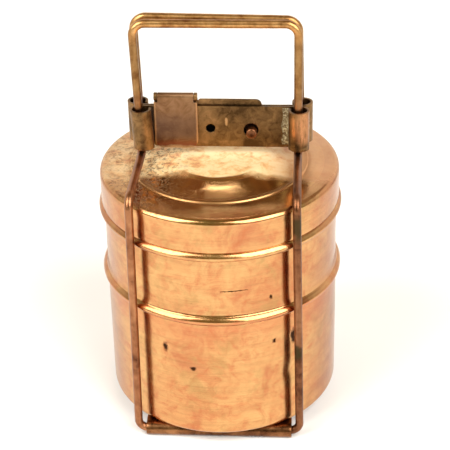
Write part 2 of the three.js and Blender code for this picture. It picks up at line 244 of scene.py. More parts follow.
def thick_ribbon(name, path, place, rows, low, high, move=None):
    """Sheet metal: a path in a plane, given thickness, swept along the third axis.

    place turns the path's two coordinates and the swept one into a point. low and high say
    where the sweep ends, as numbers or as functions of the path's coordinates.
    """
    bm = bmesh.new()
    count = len(path)
    sides = []
    for side in (-0.5, 0.5):
        grid = []
        for i, (u, v) in enumerate(path):
            before = path[max(i - 1, 0)]
            after = path[min(i + 1, count - 1)]
            du, dv = after[0] - before[0], after[1] - before[1]
            length = math.hypot(du, dv)
            pu = u - dv / length * SHEET * side
            pv = v + du / length * SHEET * side
            bottom = low(u, v) if callable(low) else low
            top = high(u, v) if callable(high) else high
            column = []
            for j in range(rows + 1):
                at = Vector(place(pu, pv, bottom + (top - bottom) * j / rows))
                column.append(bm.verts.new(move(at) if move else at))
            grid.append(column)
        sides.append(grid)
    near, far = sides
    for i in range(count - 1):
        for j in range(rows):
            bm.faces.new((near[i][j], near[i + 1][j], near[i + 1][j + 1], near[i][j + 1]))
            bm.faces.new((far[i][j], far[i][j + 1], far[i + 1][j + 1], far[i + 1][j]))
        for j in (0, rows):
            bm.faces.new((near[i][j], far[i][j], far[i + 1][j], near[i + 1][j]))
    for i in (0, count - 1):
        for j in range(rows):
            bm.faces.new((near[i][j], near[i][j + 1], far[i][j + 1], far[i][j]))
    return make_object(name, bm)


def wire(name, corners):
    """A bent round wire along straight runs and arcs: corners are (point, bend radius)."""
    stations = [(corners[0][0], (corners[1][0] - corners[0][0]).normalized())]
    for (before, _), (at, bend), (after, _) in zip(corners, corners[1:], corners[2:]):
        into, out = (at - before).normalized(), (after - at).normalized()
        turn = into.angle(out)
        inward = (out - into * out.dot(into)).normalized()
        start = at - into * bend * math.tan(turn / 2)
        last = stations[-1][0]
        straight = max(1, int((start - last).length / WIRE_STEP))
        stations += [(last.lerp(start, i / straight), into) for i in range(1, straight)]
        bends = max(4, int(math.degrees(turn) / 7))
        for i in range(bends + 1):
            a = turn * i / bends
            point = start + into * bend * math.sin(a) + inward * bend * (1 - math.cos(a))
            stations.append((point, into * math.cos(a) + inward * math.sin(a)))
    last, end = stations[-1][0], corners[-1][0]
    straight = max(1, int((end - last).length / WIRE_STEP))
    stations += [(last.lerp(end, i / straight), (end - last).normalized())
                 for i in range(1, straight + 1)]
    bm = bmesh.new()
    side = stations[0][1].orthogonal().normalized()
    rings = []
    for point, along in stations:
        side = (side - along * side.dot(along)).normalized()
        other = along.cross(side)
        ring = []
        for k in range(WIRE_SIDES):
            a = 2 * math.pi * k / WIRE_SIDES
            out = side * math.cos(a) + other * math.sin(a)
            bump = WIRE_ROUGH * (fine_noise(point + out * WIRE_RADIUS, 3.5 * MM, 4.0) - 1)
            ring.append(bm.verts.new(point + out * (WIRE_RADIUS + bump)))
        rings.append(ring)
    for here, there in zip(rings, rings[1:]):
        for k in range(WIRE_SIDES):
            n = (k + 1) % WIRE_SIDES
            bm.faces.new((here[k], here[n], there[n], there[k]))
    bm.faces.new(rings[0][::-1])
    bm.faces.new(rings[-1])
    return make_object(name, bm)


def cut(obj, cutter):
    """Cuts one closed object out of another and throws the cutter away."""
    modifier = obj.modifiers.new("cut", "BOOLEAN")
    modifier.operation = "DIFFERENCE"
    modifier.solver = "EXACT"
    modifier.object = cutter
    bake_modifiers(obj)
    bpy.data.objects.remove(cutter)


def rod_cutter(x, z, radius):
    """A round cutter along Y, for a hole through a plate."""
    bm = bmesh.new()
    bmesh.ops.create_cone(bm, cap_ends=True, segments=48, radius1=radius, radius2=radius,
                          depth=0.03, matrix=Matrix.Rotation(math.pi / 2, 4, "X"))
    bmesh.ops.translate(bm, verts=bm.verts, vec=(x, 0, z))
    return make_object("cutter", bm)


def block_cutter(low, high):
    """A square cutter between two corners."""
    bm = bmesh.new()
    bmesh.ops.create_cube(bm, size=1)
    middle = (Vector(low) + Vector(high)) / 2
    size = Vector(high) - Vector(low)
    for vertex in bm.verts:
        vertex.co = Vector(c * s for c, s in zip(vertex.co, size)) + middle
    return make_object("cutter", bm)


def join(objects, name):
    """Joins objects into the first one."""
    bm = bmesh.new()
    for obj in objects:
        bm.from_mesh(obj.data)
    mesh = bpy.data.meshes.new(name)
    bm.to_mesh(mesh)
    bm.free()
    first = objects[0]
    first.data = mesh
    first.name = name
    for obj in objects[1:]:
        bpy.data.objects.remove(obj)
    mesh.shade_smooth()
    mesh.set_sharp_from_angle(angle=math.radians(50))
    return first


# Materials

class Nodes:
    """Short calls for the nodes of a material or a world."""

    def __init__(self, owner):
        owner.use_nodes = True
        self.nodes = owner.node_tree.nodes
        self.links = owner.node_tree.links

    def feed(self, socket, value):
        """Gives a socket a link or a value. None leaves it as it is."""
        if isinstance(value, bpy.types.NodeSocket):
            self.links.new(value, socket)
        elif isinstance(value, tuple) and socket.type == "RGBA":
            socket.default_value = (*value, 1)
        elif value is not None:
            socket.default_value = value

    def split(self, vector):
        """A vector's x, y and z."""
        node = self.nodes.new("ShaderNodeSeparateXYZ")
        self.feed(node.inputs[0], vector)
        return node.outputs

    def ramp(self, value, stops):
        """stops are (position, colour) with a colour or a grey number."""
        node = self.nodes.new("ShaderNodeValToRGB")
        self.feed(node.inputs[0], value)
        elements = node.color_ramp.elements
        while len(elements) < len(stops):
            elements.new(0.5)
        for element, (position, colour) in zip(elements, stops):
            element.position = position
            if isinstance(colour, (int, float)):
                colour = (colour,) * 3
            element.color = (*colour, 1)
        return node.outputs["Color"]

    def mix(self, factor, a, b, blend="MIX"):
        """Colour a where factor is 0, and b, or a blended with b, where it is 1."""
        node = self.nodes.new("ShaderNodeMix")
        node.data_type = "RGBA"
        node.blend_type = blend
        self.feed(node.inputs["Factor"], factor)
        colours = [s for s in node.inputs if s.type == "RGBA"]
        for socket, value in zip(colours, (a, b)):
            self.feed(socket, value)
        return [s for s in node.outputs if s.type == "RGBA"][0]


class Finish(Nodes):
    """A Principled material, with short calls for the nodes that feed it."""

    def __init__(self, name, metallic=1.0):
        self.material = bpy.data.materials.new(name)
        super().__init__(self.material)
        self.shader = self.nodes["Principled BSDF"]
        self.shader.inputs["Metallic"].default_value = metallic
        self.place = self.nodes.new("ShaderNodeTexCoord").outputs["Object"]

    def math(self, operation, a, b=None, c=None):
        """A Math node's result."""
        node = self.nodes.new("ShaderNodeMath")
        node.operation = operation
        for socket, value in zip(node.inputs, (a, b, c)):
            self.feed(socket, value)
        return node.outputs[0]

    def times(self, a, b, plus=0.0):
        """a times b, plus a third value."""
        return self.math("MULTIPLY_ADD", a, b, plus)

    def vector(self, operation, a, b=None):
        """A Vector Math node's result, a number for a length."""
        node = self.nodes.new("ShaderNodeVectorMath")
        node.operation = operation
        self.feed(node.inputs[0], a)
        self.feed(node.inputs[1], b)
        return node.outputs["Value" if operation == "LENGTH" else "Vector"]

    def joined(self, x, y, z):
        """A vector from x, y and z."""
        node = self.nodes.new("ShaderNodeCombineXYZ")
        for socket, value in zip(node.inputs, (x, y, z)):
            self.feed(socket, value)
        return node.outputs[0]

    def noise(self, size, detail, rough=0.55, warp=0.0, at=None, offset=0.0):
        """Noise whose largest blotches are about size metres across."""
        node = self.nodes.new("ShaderNodeTexNoise")
        place = at or self.place
        if offset:
            place = self.vector("ADD", place, (offset, -offset, 2 * offset))
        self.feed(node.inputs["Vector"], place)
        node.inputs["Scale"].default_value = 1 / size
        node.inputs["Detail"].default_value = detail
        node.inputs["Roughness"].default_value = rough
        node.inputs["Distortion"].default_value = warp
        return node.outputs["Fac"]

    def tint(self, colour, mask, amount, target):
        """The colour, turned towards a target colour where the mask is 1."""
        return self.mix(self.times(mask, amount), colour, target)

    def mark(self, centre, radius, stretch=(1, 1, 1)):
        """1 inside a small worn spot that fades at its ragged edge."""
        offset = self.vector("SUBTRACT", self.place, centre)
        scaled = self.vector("MULTIPLY", offset, stretch)
        away = self.vector("LENGTH", scaled)
        ragged = self.times(self.noise(radius * 0.8, 3), radius)
        edge = self.math("ADD", away, ragged)
        return self.ramp(self.math("DIVIDE", edge, radius * 1.9), [(0.42, 1), (0.62, 0)])

    def bump(self, height, distance, strength, under=None):
        """A normal from a height, over another bump's normal."""
        node = self.nodes.new("ShaderNodeBump")
        self.feed(node.inputs["Height"], height)
        node.inputs["Distance"].default_value = distance
        node.inputs["Strength"].default_value = strength
        self.feed(node.inputs["Normal"], under)
        return node.outputs[0]

    def finish(self, colour, roughness, normal):
        """Feeds the shader, and gives the finished material."""
        self.feed(self.shader.inputs["Base Color"], colour)
        self.feed(self.shader.inputs["Roughness"], roughness)
        self.feed(self.shader.inputs["Normal"], normal)
        return self.material


def rgb(red, green, blue):
    """A display colour, 0 to 255, as the linear colour that the shader takes."""
    def linear(value):
        value /= 255
        return value / 12.92 if value <= 0.04045 else ((value + 0.055) / 1.055) ** 2.4
    return (linear(red), linear(green), linear(blue))


PLATE_PATINA = (rgb(80, 58, 34), rgb(122, 92, 58), rgb(160, 122, 80))


def turned_brass(f):
    """Colour, roughness and normal of spun and polished brass with soft stains, its sides dulled by
    tarnish and painted reflection.
    """
    x, y, z = f.split(f.place)
    radius = f.vector("LENGTH", f.joined(x, y, 0.0))
    along = f.math("ADD", radius, z)
    spinning = f.joined(f.times(x, 0.03), f.times(y, 0.03), along)
    lines = f.noise(0.55 * MM, 3, 0.6, at=spinning)
    broad_lines = f.noise(3.0 * MM, 3, 0.6, at=spinning, offset=0.7)
    stain = f.noise(30 * MM, 6, 0.62, 0.8)
    colour = f.ramp(stain, [
        (0.32, rgb(190, 124, 84)),
        (0.45, rgb(206, 152, 100)),
        (0.58, rgb(213, 163, 108)),
        (0.75, rgb(216, 172, 114)),
    ])
    cloud = f.ramp(f.noise(10 * MM, 8, 0.7, 1.2, offset=3.1), [(0.46, 0), (0.66, 1)])
    colour = f.tint(colour, cloud, 0.7, rgb(190, 112, 74))
    olive = f.ramp(f.noise(16 * MM, 8, 0.68, 0.6, offset=11.0), [(0.52, 0), (0.66, 1)])
    colour = f.tint(colour, olive, 0.5, rgb(172, 138, 86))
    # Left and right sides of the wall turn duller and pinker: partly tarnish, partly painted
    # reflection.
    side = f.math("DIVIDE", f.math("ABSOLUTE", x), f.math("ADD", radius, 1 * MM))
    wall = f.math("GREATER_THAN", radius, 60 * MM)
    side_tarnish_and_reflection = f.times(f.ramp(side, [(0.66, 0), (0.97, 1)]), wall)
    patchy = f.ramp(f.noise(12 * MM, 7, 0.62, 0.4, offset=6.6), [(0.38, 0.35), (0.64, 0.8)])
    colour = f.tint(colour, side_tarnish_and_reflection, patchy, rgb(168, 112, 80))
    streak = f.ramp(broad_lines, [(0.3, 0.84), (0.62, 1.0)])
    colour = f.mix(0.7, colour, streak, "MULTIPLY")
    hair = f.ramp(lines, [(0.36, 0.82), (0.5, 1.0)])
    colour = f.mix(0.5, colour, hair, "MULTIPLY")
    speck = f.ramp(f.noise(1.5 * MM, 2, 0.5, offset=1.9), [(0.72, 0), (0.78, 1)])
    colour = f.tint(colour, speck, 0.4, rgb(120, 74, 44))
    rough = f.times(stain, 0.18, 0.12)
    normal = f.bump(lines, 0.02 * MM, 0.5)
    normal = f.bump(f.noise(14 * MM, 2, 0.5, offset=9.0), 0.35 * MM, 0.5, normal)
    return colour, rough, normal


def spun_brass(name, marks, blush):
    """Spun brass with a few dark knocks, and a pink blush just below a given height."""
    f = Finish(name)
    colour, rough, normal = turned_brass(f)
    z = f.split(f.place)[2]
    depth = f.times(f.noise(13 * MM, 5, 0.6, 0.5, offset=4.0), 0.5, -0.25)
    near = f.math("ADD", f.math("DIVIDE", f.math("SUBTRACT", blush, z), 20 * MM), depth)
    pink = f.ramp(near, [(0.0, 0), (0.08, 0.3), (0.9, 0)])
    colour = f.mix(pink, colour, rgb(206, 120, 84))
    for centre, size, stretch in marks:
        spot = f.mark(centre, size, stretch)
        colour = f.mix(spot, colour, rgb(62, 36, 18))
        rough = f.times(spot, 0.3, rough)
        normal = f.bump(spot, -0.3 * MM, 0.8, normal)
    return f.finish(colour, rough, normal)


def lid_brass(name):
    """The lid: polished skirt and front, its top gone matt and cream, pitted on the left."""
    f = Finish(name)
    colour, rough, normal = turned_brass(f)
    x, y, z = f.split(f.place)
    top = f.ramp(f.math("SUBTRACT", z, lid_high.z - LID_SHOULDER), [(0.0, 0), (1.2 * MM, 1)])
    radius = f.vector("LENGTH", f.joined(x, y, 0.0))
    wander = f.times(f.noise(12 * MM, 4, 0.6), 10 * MM, -5 * MM)
    depth = f.math("ADD", f.math("SUBTRACT", y, -27 * MM), wander)
    rear = f.ramp(f.math("DIVIDE", depth, 10 * MM), [(0.0, 0), (0.6, 1)])
    ragged = f.math("ADD", radius, f.times(wander, 0.15))
    inward = f.math("SUBTRACT", LID_DISC + 0.7 * MM, ragged)
    disc = f.ramp(f.math("DIVIDE", inward, 10 * MM), [(0.0, 0), (0.12, 1)])
    matt = f.times(top, f.math("MAXIMUM", rear, disc))
    bloom = f.noise(8 * MM, 10, 0.68, 0.3, offset=2.0)
    cream = f.ramp(bloom, [
        (0.34, rgb(212, 146, 98)),
        (0.44, rgb(240, 194, 132)),
        (0.54, rgb(250, 220, 166)),
        (0.72, rgb(252, 226, 178)),
    ])
    right = f.ramp(f.math("DIVIDE", x, 0.1), [(0.22, 0), (0.50, 1)])
    cream = f.tint(cream, right, 0.8, rgb(196, 128, 84))
    colour = f.mix(matt, colour, cream)
    left = f.ramp(f.times(x, -12.0, 0.3), [(0.40, 0), (0.75, 1)])
    area = f.ramp(f.noise(15 * MM, 4, 0.6, 0.5, offset=5.2), [(0.26, 0), (0.46, 1)])
    crust = f.ramp(f.noise(2.3 * MM, 8, 0.74, 0.3, offset=7.7), [(0.50, 0), (0.57, 1)])
    pitted = f.times(f.times(crust, area), f.times(left, top))
    colour = f.tint(colour, pitted, 0.85, rgb(104, 62, 36))
    front = f.times(top, f.math("SUBTRACT", 1.0, matt))
    colour = f.tint(colour, front, 0.55, rgb(178, 140, 88))
    rough = f.times(front, -0.09, rough)
    ring = f.math("ABSOLUTE", f.math("SUBTRACT", radius, LID_RING))
    ring = f.ramp(f.math("DIVIDE", ring, 10 * MM), [(0.15, 1), (0.32, 0)])
    dulled = f.times(ring, top)
    colour = f.tint(colour, dulled, 0.45, rgb(178, 128, 80))
    rough = f.times(dulled, 0.22, rough)
    rough = f.times(matt, 0.25, rough)
    rough = f.times(pitted, 0.25, rough)
    normal = f.bump(pitted, -0.12 * MM, 0.8, normal)
    f.feed(f.shader.inputs["Metallic"], f.times(matt, -0.72, 1.0))
    return f.finish(colour, rough, normal)


def patina(f, dark, middle, worn, roughness, grain, crusted):
    """Colour, roughness and normal of old brass, its blotches about grain millimetres wide."""
    blotch = f.noise(grain * MM, 7, 0.62, 0.9)
    wide = f.noise(4.5 * grain * MM, 3, 0.5, 0.4, offset=2.3)
    colour = f.ramp(f.times(wide, 0.5, f.times(blotch, 0.5)), [
        (0.38, dark),
        (0.50, middle),
        (0.64, worn),
    ])
    fleck = f.ramp(f.noise(1.1 * MM, 5, 0.7, offset=4.4), [(0.58, 0), (0.72, 1)])
    colour = f.tint(colour, fleck, 0.4, worn)
    crust = f.ramp(f.noise(2.0 * MM, 6, 0.7, offset=6.1), [(0.60, 0), (0.72, 1)])
    colour = f.tint(colour, crust, crusted, tuple(c * 0.35 for c in dark))
    rough = f.times(blotch, 0.3, roughness - 0.15)
    normal = f.bump(f.noise(0.7 * MM, 6, 0.7), 0.05 * MM, 0.5)
    normal = f.bump(blotch, 0.12 * MM, 0.4, normal)
    return colour, rough, normal


def base_brass(name):
    """The base plate: reddish brown sheet, hardly crusted."""
    f = Finish(name)
    patches = patina(f, rgb(84, 50, 30), rgb(122, 80, 50), rgb(160, 112, 74), 0.3, 8.0, 0.2)
    return f.finish(*patches)


def front_plate_brass(name):
    """The front clasp plate, with a painted bright copper highlight streaked round its right
    sleeve.
    """
    f = Finish(name)
    colour, rough, normal = patina(f, *PLATE_PATINA, 0.42, 5.0, 0.6)
    x, y, z = f.split(f.place)
    long_noise = f.noise(1.6 * MM, 4, 0.65, at=f.joined(x, y, f.times(z, 0.15)))
    # Painted highlight: a streaked bright copper reflection round the right sleeve, with lower
    # roughness.
    wear_and_highlight = f.mark(on_stack(49, -9.5, 172), 15 * MM, (1.1, 1, 0.75))
    streaked_highlight = f.times(wear_and_highlight, f.ramp(long_noise, [(0.36, 0.15), (0.56, 1)]))
    colour = f.tint(colour, streaked_highlight, 0.72, rgb(192, 130, 88))
    rough = f.times(streaked_highlight, -0.15, rough)
    scratch = f.mark(on_stack(4.6, -1.6, 170.6), 3.0 * MM, (2.2, 1, 0.7))
    colour = f.tint(colour, scratch, 0.7, rgb(224, 178, 126))
    return f.finish(colour, rough, normal)


def rear_plate_brass(name):
    """The rear clasp plate, with painted black shadow where the front plate's holes bare it."""
    f = Finish(name)
    colour, rough, normal = patina(f, *PLATE_PATINA, 0.45, 5.0, 0.6)
    inner_face = f.math("LESS_THAN", f.split(f.place)[1], 0.8 * MM)
    # Painted shadow: near black on the inner face behind the empty hole and round the stud, with
    # higher roughness.
    behind_stud = (18.5 * MM, STACK_Z + 165.4 * MM, 14 * MM)
    for x, z, size in ((EMPTY_HOLE_X, EMPTY_HOLE_Z, 10.5 * MM), behind_stud):
        painted_hole_shadow = f.times(f.mark((x, 0.9 * MM, z), size), inner_face)
        colour = f.mix(painted_hole_shadow, colour, (0.004, 0.003, 0.002))
        rough = f.times(painted_hole_shadow, 0.4, rough)
    return f.finish(colour, rough, normal)


def wire_brass(name):
    """Drawn wire: rubbed golden in the handle and painted lighter towards its top, pinker and
    darker down the legs, the right leg with painted shade.
    """
    f = Finish(name)
    shades = (rgb(96, 56, 36), rgb(146, 95, 64), rgb(178, 124, 86))
    colour, rough, normal = patina(f, *shades, 0.33, 9.0, 0.35)
    x, y, z = f.split(f.place)
    handle = f.ramp(f.times(z, 10.0, -1.6), [(0.22, 0), (0.42, 1)])
    wear_and_highlight = f.ramp(f.noise(8 * MM, 6, 0.6, 0.5, offset=3.3), [
        (0.36, rgb(134, 90, 50)),
        (0.50, rgb(166, 122, 74)),
        (0.66, rgb(184, 142, 92)),
    ])
    # Painted light and shade: the handle lighter towards its top, darker lower down.
    shaded = f.ramp(f.times(z, 50.0, -11.2), [(0.15, 0.7), (0.55, 1.3)])
    colour = f.mix(handle, colour, f.mix(1.0, wear_and_highlight, shaded, "MULTIPLY"))
    # Painted shade: the right leg darker than the left.
    dim = f.ramp(f.times(x, 10.0, 0.5), [(0.4, 1), (0.6, 0.74)])
    colour = f.mix(f.math("SUBTRACT", 1.0, handle), colour, f.mix(1.0, colour, dim, "MULTIPLY"))
    lengthwise = f.joined(x, y, f.times(z, 0.08))
    drawn = f.ramp(f.noise(1.4 * MM, 3, 0.6, at=lengthwise), [(0.35, 0.72), (0.6, 1.0)])
    colour = f.mix(0.6, colour, drawn, "MULTIPLY")
    for height, size in ((136, 8.5 * MM), (52, 6 * MM)):
        bare = f.mark(on_stack(45.8, -59, height), size, (1, 1, 0.6))
        colour = f.tint(colour, bare, 0.85, rgb(58, 50, 30))
    return f.finish(colour, rough, normal)


def flap_brass(name):
    """The hasp: olive brown above, greyer in the middle, with painted reddish shade along its
    curled foot and a painted pale highlight round its edges.
    """
    f = Finish(name)
    shades = (rgb(98, 66, 44), rgb(134, 98, 68), rgb(160, 124, 92))
    colour, rough, normal = patina(f, *shades, 0.42, 7.0, 0.4)
    x, _, z = f.split(f.place)
    height = f.math("DIVIDE", f.math("SUBTRACT", z, flap_low.z), flap_high.z - flap_low.z)
    ragged = f.times(f.noise(7 * MM, 4, 0.6, offset=8.1), 0.12, -0.06)
    height = f.math("ADD", height, ragged)
    grey = f.ramp(height, [(0.14, 0), (0.24, 1), (0.50, 0.8), (0.70, 0)])
    colour = f.tint(colour, grey, 0.45, rgb(132, 106, 90))
    # Painted shade: a reddish band where the foot curls.
    red = f.ramp(height, [(0.03, 0), (0.07, 1), (0.17, 0)])
    colour = f.tint(colour, red, 0.7, rgb(140, 74, 48))
    # Painted highlight: pale along the side edges and along the foot, its edge made ragged by
    # noise.
    middle_x = (flap_low.x + flap_high.x) / 2
    half = (flap_high.x - flap_low.x) / 2
    side = f.math("DIVIDE", f.math("ABSOLUTE", f.math("SUBTRACT", x, middle_x)), half)
    worn = f.times(f.noise(3 * MM, 4, 0.6, offset=2.6), 0.08, -0.04)
    rim = f.ramp(f.math("ADD", side, worn), [(0.90, 0), (0.97, 0.75)])
    foot = f.ramp(height, [(0.02, 0.75), (0.06, 0)])
    colour = f.mix(f.math("MAXIMUM", rim, foot), colour, rgb(206, 158, 112))
    return f.finish(colour, rough, normal)


def soft_solder(name, unshadowed):
    """Grey soft solder with brown corrosion, covered by painted dark shadow where unshadowed is 0.
    """
    f = Finish(name, metallic=0.6)
    blotch = f.noise(2.2 * MM, 8, 0.7, 1.0)
    colour = f.ramp(blotch, [
        (0.36, rgb(86, 62, 40)),
        (0.48, rgb(126, 110, 80)),
        (0.62, rgb(196, 188, 156)),
    ])
    # Painted shadow: dark brown over the whole fillet where unshadowed is 0.
    painted_solder_shadow = f.noise(3.5 * MM, 6, 0.65, offset=1.4)
    painted_solder_shadow = f.ramp(painted_solder_shadow, [(0.3, rgb(30, 20, 12)), (0.6, rgb(72, 50, 32))])
    colour = f.mix(unshadowed, painted_solder_shadow, colour)
    rough = f.times(blotch, 0.3, 0.4)
    normal = f.bump(f.noise(0.9 * MM, 7, 0.7), 0.25 * MM, 0.9)
    return f.finish(colour, rough, normal)


# Stack

def dented(dents, wave=0.12 * MM):
    """A move that gives spun sheet its slight waves, and a few soft dents pressed inward."""
    def move(point):
        out = Vector((point.x, point.y, 0))
        reach = out.length
        if reach < 1e-6:
            return point
        out.normalize()
        wall = clamp((reach / BEAD_RADIUS - 0.85) * 10)
        shift = wave * (fine_noise(point, 38 * MM, 1.0) + 0.5 * fine_noise(point, 15 * MM, 2.0) - 1)
        point = point + out * shift * wall
        for centre, size, depth in dents:
            near = (point - Vector(centre)).length / size
            if near < 2.5:
                point = point - out * depth * math.exp(-near * near * 2)
        return point
    return move


def bead(x, z, start):
    """A rolled bead's outside, from angle start round to its broad upper face."""
    r = BEAD_ROUND
    side, shoulder, top = (
        (x + out * r, z + up * r) for out, up in ((1, 0.10), (0.77, 0.68), (0.26, 0.97)))
    return [*arc(x, z, r, start, -6, 12), *bezier(side, shoulder, top, 12)]


def make_lower_container():
    """An open pan with a rounded foot and a rolled lip."""
    radius = lower_high.x
    wall = radius - SHEET
    foot = 3.5 * MM
    low, high = lower_low.z, lower_high.z
    rim = SHEET / 2
    profile = [
        *line((0, low + 0.3 * MM), (radius - foot, low), 14),
        *arc(radius - foot, low + foot, foot, -90, 0, 12),
        *line((radius, low + foot + 1 * MM), (radius, high - rim), 40),
        *arc(radius - rim, high - rim, rim, 0, 180, 8),
        *line((wall, high - rim - 1 * MM), (wall, low + foot), 20),
        *arc(radius - foot, low + foot, foot - SHEET, 0, -90, 6),
        *line((radius - foot - 1 * MM, low + SHEET), (0, low + SHEET), 10),
        (0, low + SHEET),
    ]
    dents = [
        (on_stack(-28.6, -61, 57), 5 * MM, 0.5 * MM),
        (on_stack(-13, -66, 46), 3.5 * MM, 0.35 * MM),
        (on_stack(20, -64, 12), 14 * MM, 0.4 * MM),
        (on_stack(42, -52.5, 36), 7 * MM, 0.5 * MM),
        (on_stack(40, 52, 40), 16 * MM, 0.6 * MM),
    ]
    return spun("lower_container_body", profile, dented(dents))


def make_upper_container():
    """An open pan whose foot nests in the lower one, under a rolled bead."""
    wall = upper_high.x - 3.0 * MM
    inside = wall - SHEET
    low, high = upper_low.z, upper_high.z
    foot_radius = lower_high.x - SHEET - 0.4 * MM
    foot = 3.5 * MM
    shoulder = lower_high.z + GAP
    bead_x = BEAD_RADIUS - BEAD_ROUND
    bead_z = shoulder + BEAD_ROUND
    rim = SHEET / 2
    fillet_end = bead_z + BEAD_ROUND + 4 * MM
    bead_top = bead(bead_x, bead_z, -90)
    fillet = (wall + 0.1 * MM, bead_z + BEAD_ROUND + 0.6 * MM)
    profile = [
        *line((0, low + 0.3 * MM), (foot_radius - foot, low), 10),
        *arc(foot_radius - foot, low + foot, foot, -90, 0, 8),
        (foot_radius, shoulder - 0.4 * MM),
        *arc(foot_radius + 0.4 * MM, shoulder - 0.4 * MM, 0.4 * MM, 180, 90, 3),
        *bead_top,
        *bezier(bead_top[-1], fillet, (wall, fillet_end), 8)[1:],
        *line((wall, fillet_end + 1 * MM), (wall, high - rim), 26),
        *arc(wall - rim, high - rim, rim, 0, 180, 6),
        *line((inside, high - rim - 1 * MM), (inside, fillet_end), 12),
        *arc(bead_x - 0.6 * MM, bead_z, BEAD_ROUND - SHEET, 60, -90, 8),
        (foot_radius - SHEET, shoulder + SHEET - 0.3 * MM),
        *arc(foot_radius - foot, low + foot, foot - SHEET, 0, -90, 6),
        *line((foot_radius - foot - 1 * MM, low + SHEET), (0, low + SHEET), 10),
        (0, low + SHEET),
    ]
    dents = [
        (on_stack(24, -62, 104), 10 * MM, 0.25 * MM),
        (on_stack(-30, -60, 108), 12 * MM, 0.3 * MM),
    ]
    return spun("upper_container_body", profile, dented(dents, 0.09 * MM))


def lid_crown(edge):
    """The lid's top from its rounded edge in to the axis: annulus, ring, cone, disc."""
    top, disc, ring = lid_high.z, LID_DISC, LID_RING
    ring_low = edge[1] + 0.9 * MM
    ring_high = ring_low + 0.75 * MM
    return [
        *bezier(edge, ((edge[0] + ring) / 2, edge[1] + 0.85 * MM), (ring + 0.9 * MM, ring_low), 10),
        *arc(ring + 0.1 * MM, ring_high - 0.55 * MM, 0.55 * MM, 20, 100, 5),
        (ring - 0.7 * MM, ring_high - 0.1 * MM),
        *bezier((ring - 1.2 * MM, ring_high - 0.12 * MM),
                ((ring + disc) / 2, ring_high + 0.75 * MM),
                (disc + 3.4 * MM, top - 1.45 * MM), 10),
        *bezier((disc + 2.6 * MM, top - 1.3 * MM), (disc + 0.9 * MM, top - 0.2 * MM),
                (disc - 1.5 * MM, top - 0.12 * MM), 7),
        *line((disc - 3 * MM, top - 0.1 * MM), (0, top), 12),
        (0, top),
    ]


def make_lid():
    """A closed shell: bead, skirt and crown, and a plainer inner face one sheet below."""
    sheet = 1.1 * MM
    skirt = BEAD_RADIUS - 1.5 * MM
    inside = skirt - sheet
    low = lid_low.z
    bead_x = BEAD_RADIUS - BEAD_ROUND
    bead_z = low + BEAD_ROUND
    edge_round = 3.4 * MM
    edge_x = skirt - edge_round
    edge_z = STACK_Z + 141.4 * MM
    under_disc = lid_high.z - sheet - 0.7 * MM
    mouth = bead(bead_x, bead_z, -72)
    edge = arc(edge_x, edge_z, edge_round, 0, 86, 12)
    under = edge_z + edge_round - sheet
    profile = [
        *mouth,
        *bezier(mouth[-1], (skirt - 0.05 * MM, bead_z + BEAD_ROUND + 0.1 * MM),
                (skirt, bead_z + BEAD_ROUND + 2 * MM), 6)[1:],
        *line((skirt, bead_z + BEAD_ROUND + 3 * MM), edge[0], 10),
        *edge,
        *lid_crown(edge[-1])[1:],
    ]
    below = [
        *line((0, under_disc + 0.1 * MM), (LID_DISC, under_disc), 8),
        *line((LID_DISC, under_disc), (LID_RING, under), 10),
        *line((LID_RING, under), (edge_x - 1 * MM, under), 6),
        *arc(edge_x, edge_z, edge_round - sheet, 88, 0, 6),
        *line((inside, edge_z - 1 * MM), (inside, low + 0.5 * MM), 12),
        (inside + 0.1 * MM, low + 0.1 * MM),
    ]
    dents = [
        (on_stack(30, -60, 133), 8 * MM, 0.25 * MM),
        (on_stack(-46, -50, 136), 9 * MM, 0.3 * MM),
    ]
    ripple = dented(dents, 0.08 * MM)

    def move(point):
        point = ripple(point)
        level = fine_noise(point, 30 * MM, 5.0) + 0.4 * fine_noise(point, 12 * MM, 6.0)
        flat = clamp((edge_x - math.hypot(point.x, point.y)) / (6 * MM))
        return point + Vector((0, 0, 0.07 * MM * (level - 1.4) * flat))

    return spun("lid_body", [*profile, *below], move, closed=True)


# Bails

def leg(side_x, side_y, neck, handle_x, bar):
    """One leg's corners from the hinge up to the handle's corner, with their bend radii."""
    sleeve_top = plate_high.z + 4 * MM
    return [
        (Vector((side_x * LEG_FOOT_X, side_y * KNUCKLE_Y, KNUCKLE_RADIUS)), 5.5 * MM),
        (Vector((side_x * LEG_LID_X, side_y * LEG_LID_Y, LID_CROSS_Z)), 7 * MM),
        (Vector((side_x * neck[0], side_y * SLEEVE_Y, NECK_Z)), 4 * MM),
        (Vector((side_x * neck[1], side_y * SLEEVE_Y, sleeve_top)), 14 * MM),
        (Vector((side_x * handle_x, side_y * bar[0], bar[1])), 7 * MM),
    ]


def make_bail(name, side_y, left_neck, right_neck, left_bar, right_bar):
    """One wire from the middle of the base's roll, up and over the handle, and back."""
    left = leg(-1, side_y, left_neck, HANDLE_LEFT_X, left_bar)
    right = leg(1, side_y, right_neck, HANDLE_RIGHT_X, right_bar)
    start = (Vector((-0.4 * MM, side_y * KNUCKLE_Y, KNUCKLE_RADIUS)), 0)
    end = (Vector((0.4 * MM, side_y * KNUCKLE_Y, KNUCKLE_RADIUS)), 0)
    return wire(name, [start, *left, *reversed(right), end])


# Base

